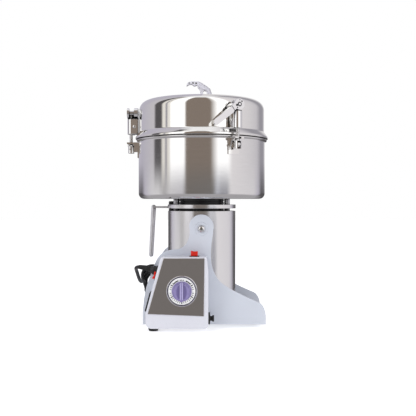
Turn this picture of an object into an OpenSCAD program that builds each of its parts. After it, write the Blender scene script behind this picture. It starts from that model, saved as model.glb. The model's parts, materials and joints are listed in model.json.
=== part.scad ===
// Swing-hammer mill for grain and herbs: a motor and steel bowl that tilt
// between two side plates, with a lid held by three cam latches.
// Millimetres, +Z up, the control box faces -Y, the floor is at z = 0.

/* [Bowl and lid] */
// Outer radius of the bowl wall
bowl_r = 110.3; // [109:0.1:111]
// Height of the bowl's underside above the floor
bowl_bottom = 215; // [213:1:217]
// Height of the bowl's rim above the floor
bowl_rim = 318; // [315:1:321]
// Thickness of the bowl and lid sheet
sheet = 1.5; // [1.2:0.1:2]
// Height of the lid from the bowl's rim to its flat top
lid_h = 67; // [64:1:70]
// Outer radius of the lid wall
lid_r = 109; // [108:0.1:110]
// Outer radius of the lid's flared rim
lid_rim_r = 115.7; // [115:0.1:116]

/* [Motor] */
// Outer radius of the motor housing
motor_r = 59; // [58:0.5:60]
// Height of the housing's lower end
motor_bottom = 45; // [43:1:50]
// Height of the housing's upper end
motor_top = 194; // [193:1:195]
// Radius of the rotor shaft
shaft_r = 6; // [5:0.5:7]

/* [Stand] */
// Height of the tilt pivot
pivot_z = 165; // [163:1:168]
// Radius of the tilt pivot bolts
pivot_r = 4; // [3:0.5:5]
// Distance from the middle to the inner face of a side plate
plate_in = 62; // [61:0.5:64]
// Thickness of a side plate
plate_t = 5; // [4:0.5:6]
// Height of the rubber feet
foot_h = 5.7; // [5:0.1:6]

/* [Control box] */
// Height of the control box's top
box_top = 121; // [120:0.5:123]
// Depth of the control box in front of the side plate
box_depth = 40; // [38:1:42]
// Thickness of the control box's walls
box_wall = 2.5; // [2:0.1:3]
// Timer dial's sideways position
dial_x = -31; // [-33:0.5:-29]
// Timer dial's height
dial_z = 66.6; // [64:0.1:69]

/* [Latches] */
// Radius from the bowl's axis to the latch rods
rod_ring_r = 124.5; // [124:0.1:125]
// Radius of a latch rod
rod_r = 2.65; // [2.4:0.05:2.8]
// Angle of the lever blades below horizontal
blade_fall = 36; // [30:1:40]
// Length of a lever from its pivot
blade_len = 56; // [48:1:58]

/* [Fits] */
// Radial clearance of pins and shafts that turn
running = 0.05; // [0.02:0.01:0.1]

/* [Cord] */
// Diameter of the mains cord
cord_d = 6; // [5.6:0.1:6.4]

/* [Hidden] */
$fn = 64;

// Where the rotor axis stands, with the origin under the middle of the whole machine
axis_x = 8;
axis_y = 10;

steel = [0.78, 0.77, 0.75];
chrome = [0.86, 0.86, 0.86];
paint = [0.80, 0.83, 0.89];
black = [0.07, 0.07, 0.08];
red = [0.85, 0.18, 0.10];
iron = [0.35, 0.36, 0.38];
copper = [0.72, 0.42, 0.22];

plate_out = plate_in + plate_t;
box_front = -plate_out - box_depth;
lid_top = bowl_rim + lid_h;

// Outline helpers
function arc(c, r, a0, a1, n = 6) =
    [for (i = [0:n]) let (a = a0 + (a1 - a0) * i / n) c + r * [cos(a), sin(a)]];
function bezier(p, q, r, s, n = 8) =
    [for (i = [0:n - 1]) let (t = i / n, u = 1 - t)
        u^3 * p + 3 * u^2 * t * q + 3 * u * t^2 * r + t^3 * s];

// Moves a piece from the rotor axis to its place about the origin
module place() translate([axis_x, axis_y, 0]) children();

// A cylinder from height z0 to z1
module rod(r, z0, z1, bore = 0) translate([0, 0, z0]) difference() {
    cylinder(r = r, h = z1 - z0);
    if (bore > 0) translate([0, 0, -1]) cylinder(r = bore, h = z1 - z0 + 2);
}

// A cylinder along Y from y0 to y1
module rod_y(r, y0, y1, bore = 0) rotate([-90, 0, 0]) rod(r, y0, y1, bore);

// A box from its low corner to its high corner
module slab(low, high) translate(low) cube(high - low);

// An outline in X and Z, from y0 to y1
module upright(y0, y1) translate([0, y1, 0]) rotate([90, 0, 0]) linear_extrude(y1 - y0) children();

// ---------------------------------------------------------------- stand

arm_r = 20.4;
arm_z = pivot_z + 3.5;
plate_outline = concat(
    [[arm_r * 0.95, arm_z]],
    bezier([19.4, 158], [14, 125], [12, 96], [32, 76], 10),
    bezier([32, 76], [50, 61], [78, 50], [96, 42]),
    bezier([96, 42], [104, 38], [107.4, 28], [107.4, 16], 6),
    [[107.4, 16], [107.4, foot_h], [-97.4, foot_h]],
    bezier([-97.4, 20], [-97.4, 62], [-88, 78], [-78, 106]),
    bezier([-78, 106], [-70, 127], [-58, 129.5], [-44, 130.6], 6),
    bezier([-44, 130.6], [-30, 132], [-22, 138], [-19.4, 158], 6),
    [[-19.4, 158], [-arm_r * 0.95, arm_z]]);

module side_plate() color(paint) difference() {
    union() {
        upright(plate_in, plate_out) {
            polygon(plate_outline);
            translate([0, arm_z]) circle(arm_r);
        }
        translate([0, 0, pivot_z]) rod_y(11, plate_out, plate_out + 1);
    }
    translate([0, 0, pivot_z]) rod_y(pivot_r, plate_in - 1, plate_out + 2);
}

module front_side_plate() mirror([0, 1, 0]) side_plate();
module rear_side_plate() side_plate();

module base_plate() color(paint) slab([-92, -plate_in, foot_h], [102, plate_in, foot_h + 3]);

module tie_rods() color(iron)
    for (x = [-75, 88]) translate([x, 0, 15]) rod_y(5, -plate_in, plate_in);

module rubber_feet() color(black)
    for (p = [[-78, -90], [92, -25], [-80, 48], [92, 48]]) translate([p.x, p.y, 0]) {
        rod(7.5, 0, 2);
        rod(8.5, 2, foot_h);
    }

module pivot_bolts() color(chrome) for (s = [0, 1]) mirror([0, s, 0])
    translate([0, 0, pivot_z]) {
        rod_y(pivot_r, plate_in - 14, plate_out + 1);
        rod_y(5.8, plate_out + 1, plate_out + 4.5);
    }

// ---------------------------------------------------------------- control box

edge_r = 4;
flank_foot = [-89.5, 30];
flank_edge = [-62, box_top - edge_r];
flank_top = flank_edge + edge_r * [cos(165), sin(165)];
flank_lean = atan2(flank_top.x - flank_foot.x, flank_top.y - flank_foot.y);
box_right = 11.5;
box_outline = concat(
    arc(flank_edge, edge_r, 165, 90, 4),
    arc([box_right - 6, box_top - edge_r], edge_r, 90, 10, 4),
    [[box_right, 98]],
    arc([box_right - 6, foot_h + 6], 6, 0, -90),
    arc([-79.5, foot_h + 10], 10, -90, -180),
    [flank_foot]);
box_mid = [-34, 62];
box_hollow = [for (p = box_outline) let (d = p - box_mid)
    box_mid + [d.x * (1 - box_wall / 42), d.y * (1 - box_wall / 55)]];
panel_outline = [[-60.8, 119.2], [5.6, 119.2], [4.4, 26], [-86.2, 29.6]];

flank_switch = [90.5, -97];
gland_at = [96, -80];
gland_len = 13;
top_switch = [-11.3, -88];
breaker_at = [-88, 19.5];

// Puts a piece on the slanted left flank, with +Z pointing out of it
function flank_x(z) = flank_foot.x + (z - flank_foot.y) * tan(flank_lean);
module on_flank(at) translate([flank_x(at.x), at.y, at.x])
    rotate([0, flank_lean - 90, 0]) children();
module on_top() translate([top_switch.x, top_switch.y, box_top]) children();
module on_right() translate([box_right, breaker_at.x, breaker_at.y]) rotate([0, 90, 0]) children();
module on_dial() translate([dial_x, box_front - 1.5, dial_z]) rotate([90, 0, 0]) children();

module switch_cut() translate([-7, -6, -4]) cube([14, 12, 8]);

module control_housing() color(paint) difference() {
    upright(box_front, -plate_out) polygon(box_outline);
    upright(box_front + box_wall, -plate_out + 1) polygon(box_hollow);
    on_flank(flank_switch) switch_cut();
    on_top() switch_cut();
    on_flank(gland_at) rod(5, -6, 5);
    on_right() rod(6, -6, 5);
    on_dial() rod(8, -8, 5);
}

module control_panel() color(chrome) difference() {
    upright(box_front - 1.5, box_front) polygon(panel_outline);
    on_dial() rod(8, -8, 5);
}

module dial_ring() color(chrome) on_dial() rod(25, 0, 2.2, 22.4);
module timer_dial() color("white") on_dial() rod(22.3, 0, 1, 8);

module timer_unit() color(black) on_dial() {
    translate([-19, -19, -28]) cube([38, 38, 23]);
    rod(7.5, -5, 1);
    rod(3, 1, 11);
}

// A switch body behind its frame, with the pin that the rocker turns on
rocker_pin_r = 1.2;
rocker_pin_z = -1.5;
module rocker_frame() color(black) {
    difference() {
        union() {
            translate([-8, -6.6, 0]) cube([16, 13.2, 0.8]);
            translate([-6.9, -5.9, -12]) cube([13.8, 11.8, 12]);
        }
        translate([-6.3, -4.8, -6]) cube([12.6, 9.6, 8]);
    }
    translate([0, 0, rocker_pin_z]) rod_y(rocker_pin_r, -5.2, 5.2);
}

module rocker_frames() {
    on_top() rocker_frame();
    on_flank(flank_switch) rocker_frame();
}

// A rocker whose two halves slope down to its middle
module rocker(high, low) color(red) difference() {
    upright(-4.6, 4.6) polygon([[-5.6, -3], [5.6, -3], [5.6, low], [0, low - 0.5], [-5.6, high]]);
    translate([0, 0, rocker_pin_z]) rod_y(rocker_pin_r + running, -6, 6);
}

module power_rocker() on_top() rocker(9, 8.2);
module pulse_rocker() on_flank(flank_switch) rocker(5, 4);

module overload_breaker() color(black) on_right() difference() {
    union() {
        rod(10, 0, 3);
        rod(6, -box_wall - 1, 0);
        rod(9, -22, -box_wall - 1);
    }
    rod(4, -8, 4);
}

module reset_button() color(black) on_right() {
    rod(4 - running, -4, 3.5);
    rod(5.3, 6.2, 9.5);
    rod(4 - running, 3, 6.5);
}

module cord_gland() color(black) on_flank(gland_at) {
    rod(4.9, -box_wall - 1, 0);
    rod(9, 0, 3);
    rod(7.5, 3, 8);
    translate([0, 0, 8]) cylinder(r1 = 6.5, r2 = 4.6, h = gland_len - 8);
}

module side_cover() color(black) on_flank([47, -87])
    translate([-15.5, -12, 0]) cube([31, 24, 3]);

module timer_knob() color([0.52, 0.47, 0.70]) on_dial() difference() {
    union() {
        rod(16, 1.6, 5);
        rod(13.5, 5, 14);
        translate([-3, -16, 1.6]) cube([6, 32, 14.4]);
    }
    rod(3 + running, 0, 12);
}

// ---------------------------------------------------------------- motor

inner_r = motor_r - sheet;
stack_low = motor_bottom + 35;
stack_high = stack_low + 50;

module motor_housing() color(steel) difference() {
    rod(motor_r, motor_bottom, motor_top, inner_r);
    translate([0, 0, pivot_z]) rod_y(pivot_r + 2, -80, 80);
}

module motor_end_cap() color(black) difference() {
    rod(inner_r, motor_bottom, motor_bottom + 8, 11);
    for (a = [0:30:330]) rotate(a) translate([40, 0, 0]) rod(5, 0, 80);
}

module top_bracket() color(iron) difference() {
    union() {
        rod(inner_r, motor_top - 8, motor_top, 14);
        intersection() {
            rod(inner_r, pivot_z - 11, motor_top - 8);
            for (s = [-1, 1]) translate([0, s * 56, pivot_z]) cube([24, 20, 50], center = true);
        }
    }
    translate([0, 0, pivot_z]) rod_y(pivot_r + running, -80, 80);
}

module stator_core() color(iron) difference() {
    intersection() {
        rod(inner_r, stack_low, stack_high, 30.5);
        slab([-51, -60, 0], [51, 60, 300]);
    }
}

module field_coils() color(copper)
    for (z = [stack_low - 12, stack_high], a = [20, 200])
        translate([0, 0, z]) rotate(a) rotate_extrude(angle = 140)
            translate([33, 0]) square([13, 12]);

module motor_bearings() color(chrome) {
    rod(14, motor_top - 8, motor_top, shaft_r + running);
    rod(11, motor_bottom, motor_bottom + 8, shaft_r + running);
}

module brush_holders() color(black) for (s = [0, 1]) mirror([s, 0, 0]) {
    slab([14.4, -5, 149], [40, 5, 159]);
    slab([30, -5, 159], [40, 5, motor_top - 8]);
}

module neck_collar() color(black) rod(39, motor_top, bowl_bottom, 14.5);

ring_low = 198.5;
ring_high = 205;
post_r = 4.5;
module at_posts() for (a = [24, 156, 204, 336]) rotate(a) translate([48.5, 0, 0]) children();

handle_w = 12;
handle_low = 199;
handle_high = 202;
clamp_x = -53;

module ring_plate() color(steel) difference() {
    rod(motor_r + 0.5, ring_low, ring_high, 39);
    slab([-70, -handle_w / 2, ring_low - 1], [-46, handle_w / 2, handle_high]);
    at_posts() rod(post_r, 190, 220);
    translate([clamp_x, 0, 0]) rod(2.5, 190, 220);
}

module support_posts() color(chrome) at_posts() rod(post_r, motor_top, bowl_bottom);

grip_top = [-84.5, 0, 200.5];
grip_foot = [-89, 0, 117];
grip_r = 4;
module tilt_handle() color(steel) {
    difference() {
        slab([grip_top.x - 1, -handle_w / 2, handle_low], [-46, handle_w / 2, handle_high]);
        translate([clamp_x, 0, 0]) rod(2.5, 190, 220);
    }
    translate(grip_top) sphere(grip_r);
    translate(grip_foot) {
        sphere(grip_r);
        rotate([0, atan2(grip_top.x - grip_foot.x, grip_top.z - grip_foot.z), 0])
            cylinder(r = grip_r, h = norm(grip_top - grip_foot));
    }
}

module handle_bolt() color(black) translate([clamp_x, 0, 0]) {
    rod(2.5, motor_top, ring_high + 6);
    rod(5, motor_top, ring_low);
    rod(5, ring_high, ring_high + 6);
}

// ---------------------------------------------------------------- bowl and lid

corner_r = 9.5;
rim_lip_r = 114;
seal_r = 14;
module bowl() color(steel) rotate_extrude() polygon(concat(
    [[seal_r, bowl_bottom]],
    arc([bowl_r - corner_r, bowl_bottom + corner_r], corner_r, -90, 0),
    [[bowl_r, bowl_rim - 4.5], [rim_lip_r, bowl_rim - 3], [rim_lip_r, bowl_rim],
        [bowl_r - sheet, bowl_rim]],
    arc([bowl_r - corner_r, bowl_bottom + corner_r], corner_r - sheet, 0, -90),
    [[seal_r, bowl_bottom + sheet]]));

module shaft_seal() color(black) {
    rod(seal_r, bowl_bottom - 6, bowl_bottom + sheet, shaft_r + running);
    rod(18, bowl_bottom + sheet, bowl_bottom + 4, shaft_r + running);
}

shoulder_r = 16;
flare_top = bowl_rim + 13;
flare_low = bowl_rim + 3;
lid_foot = bowl_rim + 0.6;
seat = bowl_rim + 2.5;
lip_r = bowl_r - sheet - 1;
module lid() color(steel) rotate_extrude() polygon(concat(
    [[0, lid_top], [25, lid_top]],
    arc([lid_r - shoulder_r, lid_top - 0.4 - shoulder_r], shoulder_r, 90, 0),
    [[lid_r, flare_top], [lid_rim_r, flare_low], [lid_rim_r, lid_foot], [lid_rim_r - 1.5, lid_foot],
        [lid_rim_r - 1.5, seat], [lip_r, seat], [lip_r, bowl_rim - 7], [lip_r - sheet, bowl_rim - 7],
        [lip_r - sheet, flare_top - 2], [lid_r - sheet, flare_top]],
    arc([lid_r - shoulder_r, lid_top - 0.4 - shoulder_r], shoulder_r - sheet, 0, 90),
    [[0, lid_top - 0.4 - sheet]]));

module lid_gasket() color(black) rod(lid_rim_r - 1.5, bowl_rim + 0.05, seat, lip_r);

// A hooked lifting grip that stands on the lid's middle
grip_outline = concat(
    [[3, 3], [24, 3]],
    bezier([24, 10], [23, 16], [16, 22], [6, 29]),
    bezier([6, 29], [0, 34], [-4, 36], [-12, 36], 6),
    bezier([-12, 36], [-22, 36.5], [-25, 34], [-27, 27], 6),
    [[-24.5, 24.5]],
    bezier([-20, 27], [-16, 22.5], [-12, 23], [-8, 21.5], 5),
    bezier([-8, 21.5], [-3, 20], [0, 16], [3, 10], 5));
module lid_handle() color(chrome) translate([0, 0, lid_top]) {
    translate([12, 0, 0]) rod(15, 0, 3);
    upright(-6, 6) polygon(grip_outline);
}

// ---------------------------------------------------------------- rotor

carrier_r = 32;
carrier_low = bowl_bottom + 11;
carrier_high = carrier_low + 24;
hammer_pin_r = 2.5;
hammer_ring_r = 25;
hammer_t = 6;
hammer_z = (carrier_low + carrier_high) / 2 - hammer_t / 2;
hammer_reach = 62;

module rotor_shaft() color(chrome) rod(shaft_r, motor_bottom + 1, carrier_high + 7);
module armature_core() color(iron) difference() {
    rod(30, stack_low - 2, stack_high + 2, shaft_r);
    for (a = [0:30:330]) rotate(a) slab([25, -1, 0], [31, 1, 200]);
}
module commutator() color(copper) rod(14, stack_high + 17, stack_high + 31, shaft_r);
module cooling_fan() color(black) {
    rod(9, motor_bottom + 9, motor_bottom + 20, shaft_r);
    rod(42, motor_bottom + 10, motor_bottom + 12, 8.5);
    for (a = [0:36:324]) rotate(a)
        slab([15, -1, motor_bottom + 11], [41, 1, motor_bottom + 20]);
}
module hammer_carrier() color(steel) {
    rod(10, bowl_bottom + 5, carrier_high, shaft_r);
    for (z = [carrier_low, carrier_high - 4]) rod(carrier_r, z, z + 4, 9);
    for (a = [0:120:240]) rotate(a) translate([hammer_ring_r, 0, 0])
        rod(hammer_pin_r, carrier_low - 1, carrier_high + 1.5);
}
module shaft_nut() color(chrome) translate([0, 0, carrier_high]) difference() {
    cylinder(r = 10, h = 8, $fn = 6);
    translate([0, 0, -1]) cylinder(r = shaft_r, h = 8);
}

// A swinging hammer bar on its own pin
module hammer(number) color(iron) rotate(120 * (number - 1)) translate([hammer_ring_r, 0, hammer_z])
    difference() {
        linear_extrude(hammer_t) {
            circle(9);
            translate([0, -9]) square([hammer_reach, 18]);
        }
        translate([0, 0, -1]) cylinder(r = hammer_pin_r + running, h = hammer_t + 2);
    }
module hammer_1() hammer(1);
module hammer_2() hammer(2);
module hammer_3() hammer(3);

// ---------------------------------------------------------------- latches

// Directions of the latches round the bowl, from the front towards the right
latch_angles = [28, 148, -92];
pin_z = bowl_rim - 16;
pin_r = 2;
ledge_w = 8;
lug_w = 2.8;
lug_r = 4.5;
jaw_low = bowl_rim + 10.3;
jaw_high = bowl_rim + 37;
lever_z = bowl_rim + 47.4;
cheeks = [[112, 118.6], [127.6, 131]];

// Puts a latch piece at its place: +X points out of the bowl, +Y to the right seen from outside
module at_latch(number) rotate(latch_angles[number - 1] - 90) children();

// A back plate, a slotted ledge on two gussets and a lug for the rod's fork
module latch_brackets() color(steel) for (i = [1:3]) at_latch(i) difference() {
    union() {
        for (y = [-ledge_w, ledge_w - 2])
            upright(y, y + 2) polygon([[112, pin_z - 4], [113.5, pin_z - 4], [120, pin_z + 9], [112, pin_z + 9]]);
        difference() {
            slab([112, -ledge_w, pin_z + 9], [131, ledge_w, pin_z + 12]);
            slab([119, -3.3, pin_z], [140, 3.3, pin_z + 20]);
        }
        slab([112, -lug_w, pin_z - lug_r], [rod_ring_r, lug_w, pin_z + lug_r]);
        translate([rod_ring_r, 0, pin_z]) rod_y(lug_r, -lug_w, lug_w);
        rotate(-5) rotate_extrude(angle = 10) translate([bowl_r, pin_z - 15])
            square([112.5 - bowl_r, 26]);
    }
    translate([rod_ring_r, 0, pin_z]) rod_y(pin_r, -20, 20);
}

module bracket_pins() color(chrome) for (i = [1:3]) at_latch(i)
    translate([rod_ring_r, 0, pin_z]) rod_y(pin_r, -6.6, 6.6);

module latch_rod(number) color(chrome) at_latch(number) {
    difference() {
        translate([rod_ring_r, 0, 0]) {
            rod(rod_r, pin_z, lever_z);
            rod(5.7, pin_z - 7, pin_z + 7.4);
        }
        translate([rod_ring_r, 0, pin_z]) rod_y(pin_r + running, -20, 20);
        slab([110, -lug_w - 0.1, pin_z - 8], [140, lug_w + 0.1, pin_z + 5.2]);
    }
    translate([0, 0, lever_z]) rotate([0, 90, 0]) {
        rod(4.5, cheeks[0][1] + 0.4, cheeks[1][0] - 0.4);
        rod(pin_r, cheeks[0][0] - 0.3, cheeks[1][1] + 0.4);
    }
}
module latch_rod_1() latch_rod(1);
module latch_rod_2() latch_rod(2);
module latch_rod_3() latch_rod(3);

module latch_jaw(number) color(chrome) at_latch(number) translate([0, 0, jaw_low]) difference() {
    linear_extrude(jaw_high - jaw_low) {
        translate([111.2, -7.5]) square([12.3, 15]);
        translate([123.5, 0]) circle(7.5);
    }
    translate([rod_ring_r, 0, 0]) rod(rod_r, -1, 40);
}
module latch_jaw_1() latch_jaw(1);
module latch_jaw_2() latch_jaw(2);
module latch_jaw_3() latch_jaw(3);

// The lever in its own plane: +X runs along the blade, +Z out of the bowl
module cam_lever(number) color(chrome) at_latch(number) translate([0, 0, lever_z])
    rotate([90, 0, 90]) rotate(180 + blade_fall) difference() {
        union() {
            for (c = cheeks) rod(9, c[0], c[1]);
            translate([0, 0, cheeks[0][0]]) linear_extrude(cheeks[1][1] - cheeks[0][0])
                polygon([[6.4, 2.4], [13, 3.4], [13, -6], [6.4, -7]]);
            translate([0, 0, 124]) linear_extrude(6)
                polygon(concat([[6.4, 2.4], [13, 3.4], [17, 5]],
                    arc([blade_len - 5, 0], 5, 90, -90), [[13, -5], [6.4, -5]]));
        }
        rod(pin_r + running, 100, 140);
    }
module cam_lever_1() cam_lever(1);
module cam_lever_2() cam_lever(2);
module cam_lever_3() cam_lever(3);

// ---------------------------------------------------------------- cord

gland_mouth = [flank_x(gland_at.x) - gland_len * cos(flank_lean), gland_at.y,
    gland_at.x + gland_len * sin(flank_lean)];
hank_front = 72;
hank_depth = 40;
hank_r = 22.5;
hank_foot = [-78, hank_r];
hank_straight = 51;
hank_lean = 18;

cord_route = [gland_mouth, [-89.5, -79.6, 100.8], [-96.5, -77.4, 101.8], [-103.2, -72.3, 102],
    [-108, -64.6, 100.5], [-110, -54, 97], [-109.6, -38, 88.5], [-109, -22, 79.5], [-108.5, -4, 72],
    [-108, 16, 67.5], [-108, 36, 66], [-108, 49, 65.4], [-107.6, 59, 63.4], [-106.8, 67, 58.6],
    [-105.6, 72.4, 51.6]];
tail_route = [[-77, 108.4, 3.4], [-69, 108.4, 3.7], [-60.5, 106.4, 5.4], [-51.8, 101.4, 8.4], [-43, 98, 10]];

// Points on a smooth curve through the route's own points
function smooth(p, steps) = [
    for (i = [0:len(p) - 2], k = [0:steps - 1])
        let (a = p[max(i - 1, 0)], b = p[i], c = p[i + 1], d = p[min(i + 2, len(p) - 1)], t = k / steps)
            0.5 * (2 * b + (c - a) * t + (2 * a - 5 * b + 4 * c - d) * t^2
                + (3 * b - a - 3 * c + d) * t^3),
    p[len(p) - 1]];
function unit(v) = v / norm(v);

// A round tube swept along a line of points, with the given number of sides
module tube(line, d, sides = 10) {
    last = len(line) - 1;
    rings = [for (i = [0:last])
        let (along = unit(line[min(i + 1, last)] - line[max(i - 1, 0)]),
            side = unit(cross(along, [0.1, 0.2, 1])), up = cross(side, along))
            for (k = [0:sides - 1]) let (a = 360 * k / sides)
                line[i] + d / 2 * (cos(a) * side + sin(a) * up)];
    walls = [for (i = [0:last - 1], k = [0:sides - 1]) let (n = (k + 1) % sides)
        [i * sides + k, i * sides + n, (i + 1) * sides + n, (i + 1) * sides + k]];
    ends = [[for (k = [sides - 1:-1:0]) k], [for (k = [0:sides - 1]) last * sides + k]];
    polyhedron(rings, concat(walls, ends));
}

module cord_tube() color(black) tube(smooth(cord_route, 2), cord_d);
module cord_tail() color(black) tube(smooth(tail_route, 2), cord_d);

module cord_hank() color(black)
    translate([hank_foot.x, 0, hank_foot.y]) rotate([0, -hank_lean, 0])
        upright(hank_front, hank_front + hank_depth) {
            circle(hank_r);
            translate([-hank_r, 0]) square([2 * hank_r, hank_straight]);
            translate([0, hank_straight]) circle(hank_r);
        }

module mains_plug() color(black) translate([-43, 98, 10]) rotate([0, 90, 0]) {
    rod(5.5, 0, 10);
    translate([-10, -12, 10]) cube([20, 24, 26]);
    for (s = [-1, 1]) translate([0, s * 6, 0]) rod(2.3, 36, 54);
}

// ---------------------------------------------------------------- nodes

place() front_side_plate();
place() rear_side_plate();
place() base_plate();
place() tie_rods();
place() rubber_feet();
place() pivot_bolts();
place() control_housing();
place() control_panel();
place() dial_ring();
place() timer_dial();
place() timer_unit();
place() rocker_frames();
place() overload_breaker();
place() cord_gland();
place() side_cover();
place() timer_knob();
place() power_rocker();
place() pulse_rocker();
place() reset_button();
place() motor_housing();
place() motor_end_cap();
place() stator_core();
place() field_coils();
place() motor_bearings();
place() brush_holders();
place() top_bracket();
place() neck_collar();
place() ring_plate();
place() support_posts();
place() tilt_handle();
place() handle_bolt();
place() bowl();
place() shaft_seal();
place() latch_brackets();
place() bracket_pins();
place() rotor_shaft();
place() armature_core();
place() commutator();
place() cooling_fan();
place() hammer_carrier();
place() shaft_nut();
place() hammer_1();
place() hammer_2();
place() hammer_3();
place() lid();
place() lid_gasket();
place() lid_handle();
place() latch_rod_1();
place() latch_rod_2();
place() latch_rod_3();
place() latch_jaw_1();
place() latch_jaw_2();
place() latch_jaw_3();
place() cam_lever_1();
place() cam_lever_2();
place() cam_lever_3();
place() cord_tube();
place() cord_hank();
place() cord_tail();
place() mains_plug();
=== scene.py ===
"""Looks of the hammer mill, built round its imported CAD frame."""

import math

import bmesh
import bpy
from mathutils import Matrix, Vector
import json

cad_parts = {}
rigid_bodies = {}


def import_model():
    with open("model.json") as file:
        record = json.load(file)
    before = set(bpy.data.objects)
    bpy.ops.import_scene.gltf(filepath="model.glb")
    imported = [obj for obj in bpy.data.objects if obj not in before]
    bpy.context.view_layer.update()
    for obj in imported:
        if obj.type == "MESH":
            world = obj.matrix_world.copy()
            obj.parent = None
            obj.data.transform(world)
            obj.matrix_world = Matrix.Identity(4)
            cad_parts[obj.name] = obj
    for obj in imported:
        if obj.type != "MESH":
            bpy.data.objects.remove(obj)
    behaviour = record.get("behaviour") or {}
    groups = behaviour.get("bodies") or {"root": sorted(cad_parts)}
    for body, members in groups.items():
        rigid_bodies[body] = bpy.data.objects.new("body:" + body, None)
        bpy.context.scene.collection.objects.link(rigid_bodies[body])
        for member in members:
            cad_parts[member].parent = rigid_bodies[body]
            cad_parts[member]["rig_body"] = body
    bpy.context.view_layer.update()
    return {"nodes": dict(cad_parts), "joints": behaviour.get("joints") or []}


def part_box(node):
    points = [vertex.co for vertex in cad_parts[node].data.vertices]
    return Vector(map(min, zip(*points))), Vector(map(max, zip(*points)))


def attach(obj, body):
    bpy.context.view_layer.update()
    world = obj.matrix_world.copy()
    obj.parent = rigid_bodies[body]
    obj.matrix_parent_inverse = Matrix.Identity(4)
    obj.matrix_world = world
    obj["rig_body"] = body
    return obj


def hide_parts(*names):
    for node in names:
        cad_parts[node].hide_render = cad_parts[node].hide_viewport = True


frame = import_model()

MM = 0.001  # a CAD millimetre in the scene's metres
JOINTS = {j["name"]: j for j in frame["joints"]}
AXIS = Vector((*JOINTS["rotor_spin"]["pos_m"][:2], 0))
RIM_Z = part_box("bowl")[1].z
LID_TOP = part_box("lid")[1].z
BOX_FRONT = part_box("control_panel")[0].y
DIAL = Vector(JOINTS["timer_turn"]["pos_m"])
DIAL.y = BOX_FRONT
LATCHES = HAMMERS = (1, 2, 3)
FRONTWARD = (0, -1, 0)

scene = bpy.context.scene
scene.view_settings.view_transform = "Standard"


# ---------------------------------------------------------------- camera

# From the rotor axis to the camera in metres, its tilt in degrees, and its lens in millimetres
EYE_BACK = 1.21
EYE_RIGHT = 0.011
EYE_HEIGHT = 0.213
TILT_DOWN = 0.67
LENS, FILM_WIDTH = 59.5, 36

camera = bpy.data.objects.new("camera", bpy.data.cameras.new("camera"))
scene.collection.objects.link(camera)
camera.location = AXIS + Vector((EYE_RIGHT, -EYE_BACK, EYE_HEIGHT))
camera.rotation_euler = (math.radians(90 - TILT_DOWN), 0, 0)
camera.data.lens = LENS
camera.data.sensor_width = FILM_WIDTH
scene.camera = camera


# ---------------------------------------------------------------- materials

NOISE_LOW, NOISE_HIGH = 0.3, 0.7  # nearly all of a noise texture's values lie between these
METAL_PATCHES, PLASTIC_PATCHES = 14, 22  # scales of the broad patches of tone
CREVICE_REACH = 0.007  # how near another surface has to be for painted shade in a crevice, in metres
CREVICE_SHUT, CREVICE_OPEN = 0.45, 0.9  # openness at which the painted shade is full, and at which it ends
CREVICE_RAYS = 8
COAT_ROUGH = 0.12


def new_material(name):
    """A material with its nodes, a shader and the object's own coordinates."""
    material = bpy.data.materials.new(name)
    material.use_nodes = True
    tree = material.node_tree
    shader = tree.nodes["Principled BSDF"]
    coords = tree.nodes.new("ShaderNodeTexCoord")
    return material, tree, shader, coords.outputs["Object"]


def noise(tree, coords, scale, stretch=(1, 1, 1), detail=4.0):
    """A noise value in the piece's own metres, stretched along its axes."""
    mapping = tree.nodes.new("ShaderNodeMapping")
    mapping.inputs["Scale"].default_value = stretch
    texture = tree.nodes.new("ShaderNodeTexNoise")
    texture.inputs["Scale"].default_value = scale
    texture.inputs["Detail"].default_value = detail
    tree.links.new(coords, mapping.inputs["Vector"])
    tree.links.new(mapping.outputs["Vector"], texture.inputs["Vector"])
    return texture.outputs["Fac"]


def spread(tree, value, low, high):
    """Maps a noise value to the range from low to high."""
    ramp = tree.nodes.new("ShaderNodeMapRange")
    ramp.inputs["From Min"].default_value = NOISE_LOW
    ramp.inputs["From Max"].default_value = NOISE_HIGH
    ramp.inputs["To Min"].default_value = low
    ramp.inputs["To Max"].default_value = high
    tree.links.new(value, ramp.inputs["Value"])
    return ramp.outputs["Result"]


def shades(tree, value, dark, light):
    """A colour between two, chosen by a noise value."""
    mix = tree.nodes.new("ShaderNodeMix")
    mix.data_type = "RGBA"
    mix.inputs["A"].default_value = (*dark, 1)
    mix.inputs["B"].default_value = (*light, 1)
    tree.links.new(spread(tree, value, 0, 1), mix.inputs["Factor"])
    return mix.outputs["Result"]


def bump(tree, shader, value, depth):
    """Raises the surface by a noise value, depth in metres."""
    node = tree.nodes.new("ShaderNodeBump")
    node.inputs["Strength"].default_value = 1.0
    node.inputs["Distance"].default_value = depth
    tree.links.new(value, node.inputs["Height"])
    tree.links.new(node.outputs["Normal"], shader.inputs["Normal"])


def painted_crevice_shade(tree, tone, colour, share):
    """The tone, darkened by a share of the colour where other surfaces are close: painted shade in crevices.
    """
    hidden = tree.nodes.new("ShaderNodeAmbientOcclusion")
    hidden.inputs["Distance"].default_value = CREVICE_REACH
    hidden.samples = CREVICE_RAYS
    openness = tree.nodes.new("ShaderNodeMapRange")
    openness.inputs["From Min"].default_value = CREVICE_SHUT
    openness.inputs["From Max"].default_value = CREVICE_OPEN
    tree.links.new(hidden.outputs["AO"], openness.inputs["Value"])
    # Painted shade: the base colour goes darker where other surfaces are close
    painted_shade = tree.nodes.new("ShaderNodeMix")
    painted_shade.data_type = "RGBA"
    painted_shade.inputs["A"].default_value = (*(c * (1 - share) for c in colour), 1)
    tree.links.new(tone, painted_shade.inputs["B"])
    tree.links.new(openness.outputs["Result"], painted_shade.inputs["Factor"])
    return painted_shade.outputs["Result"]


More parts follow.
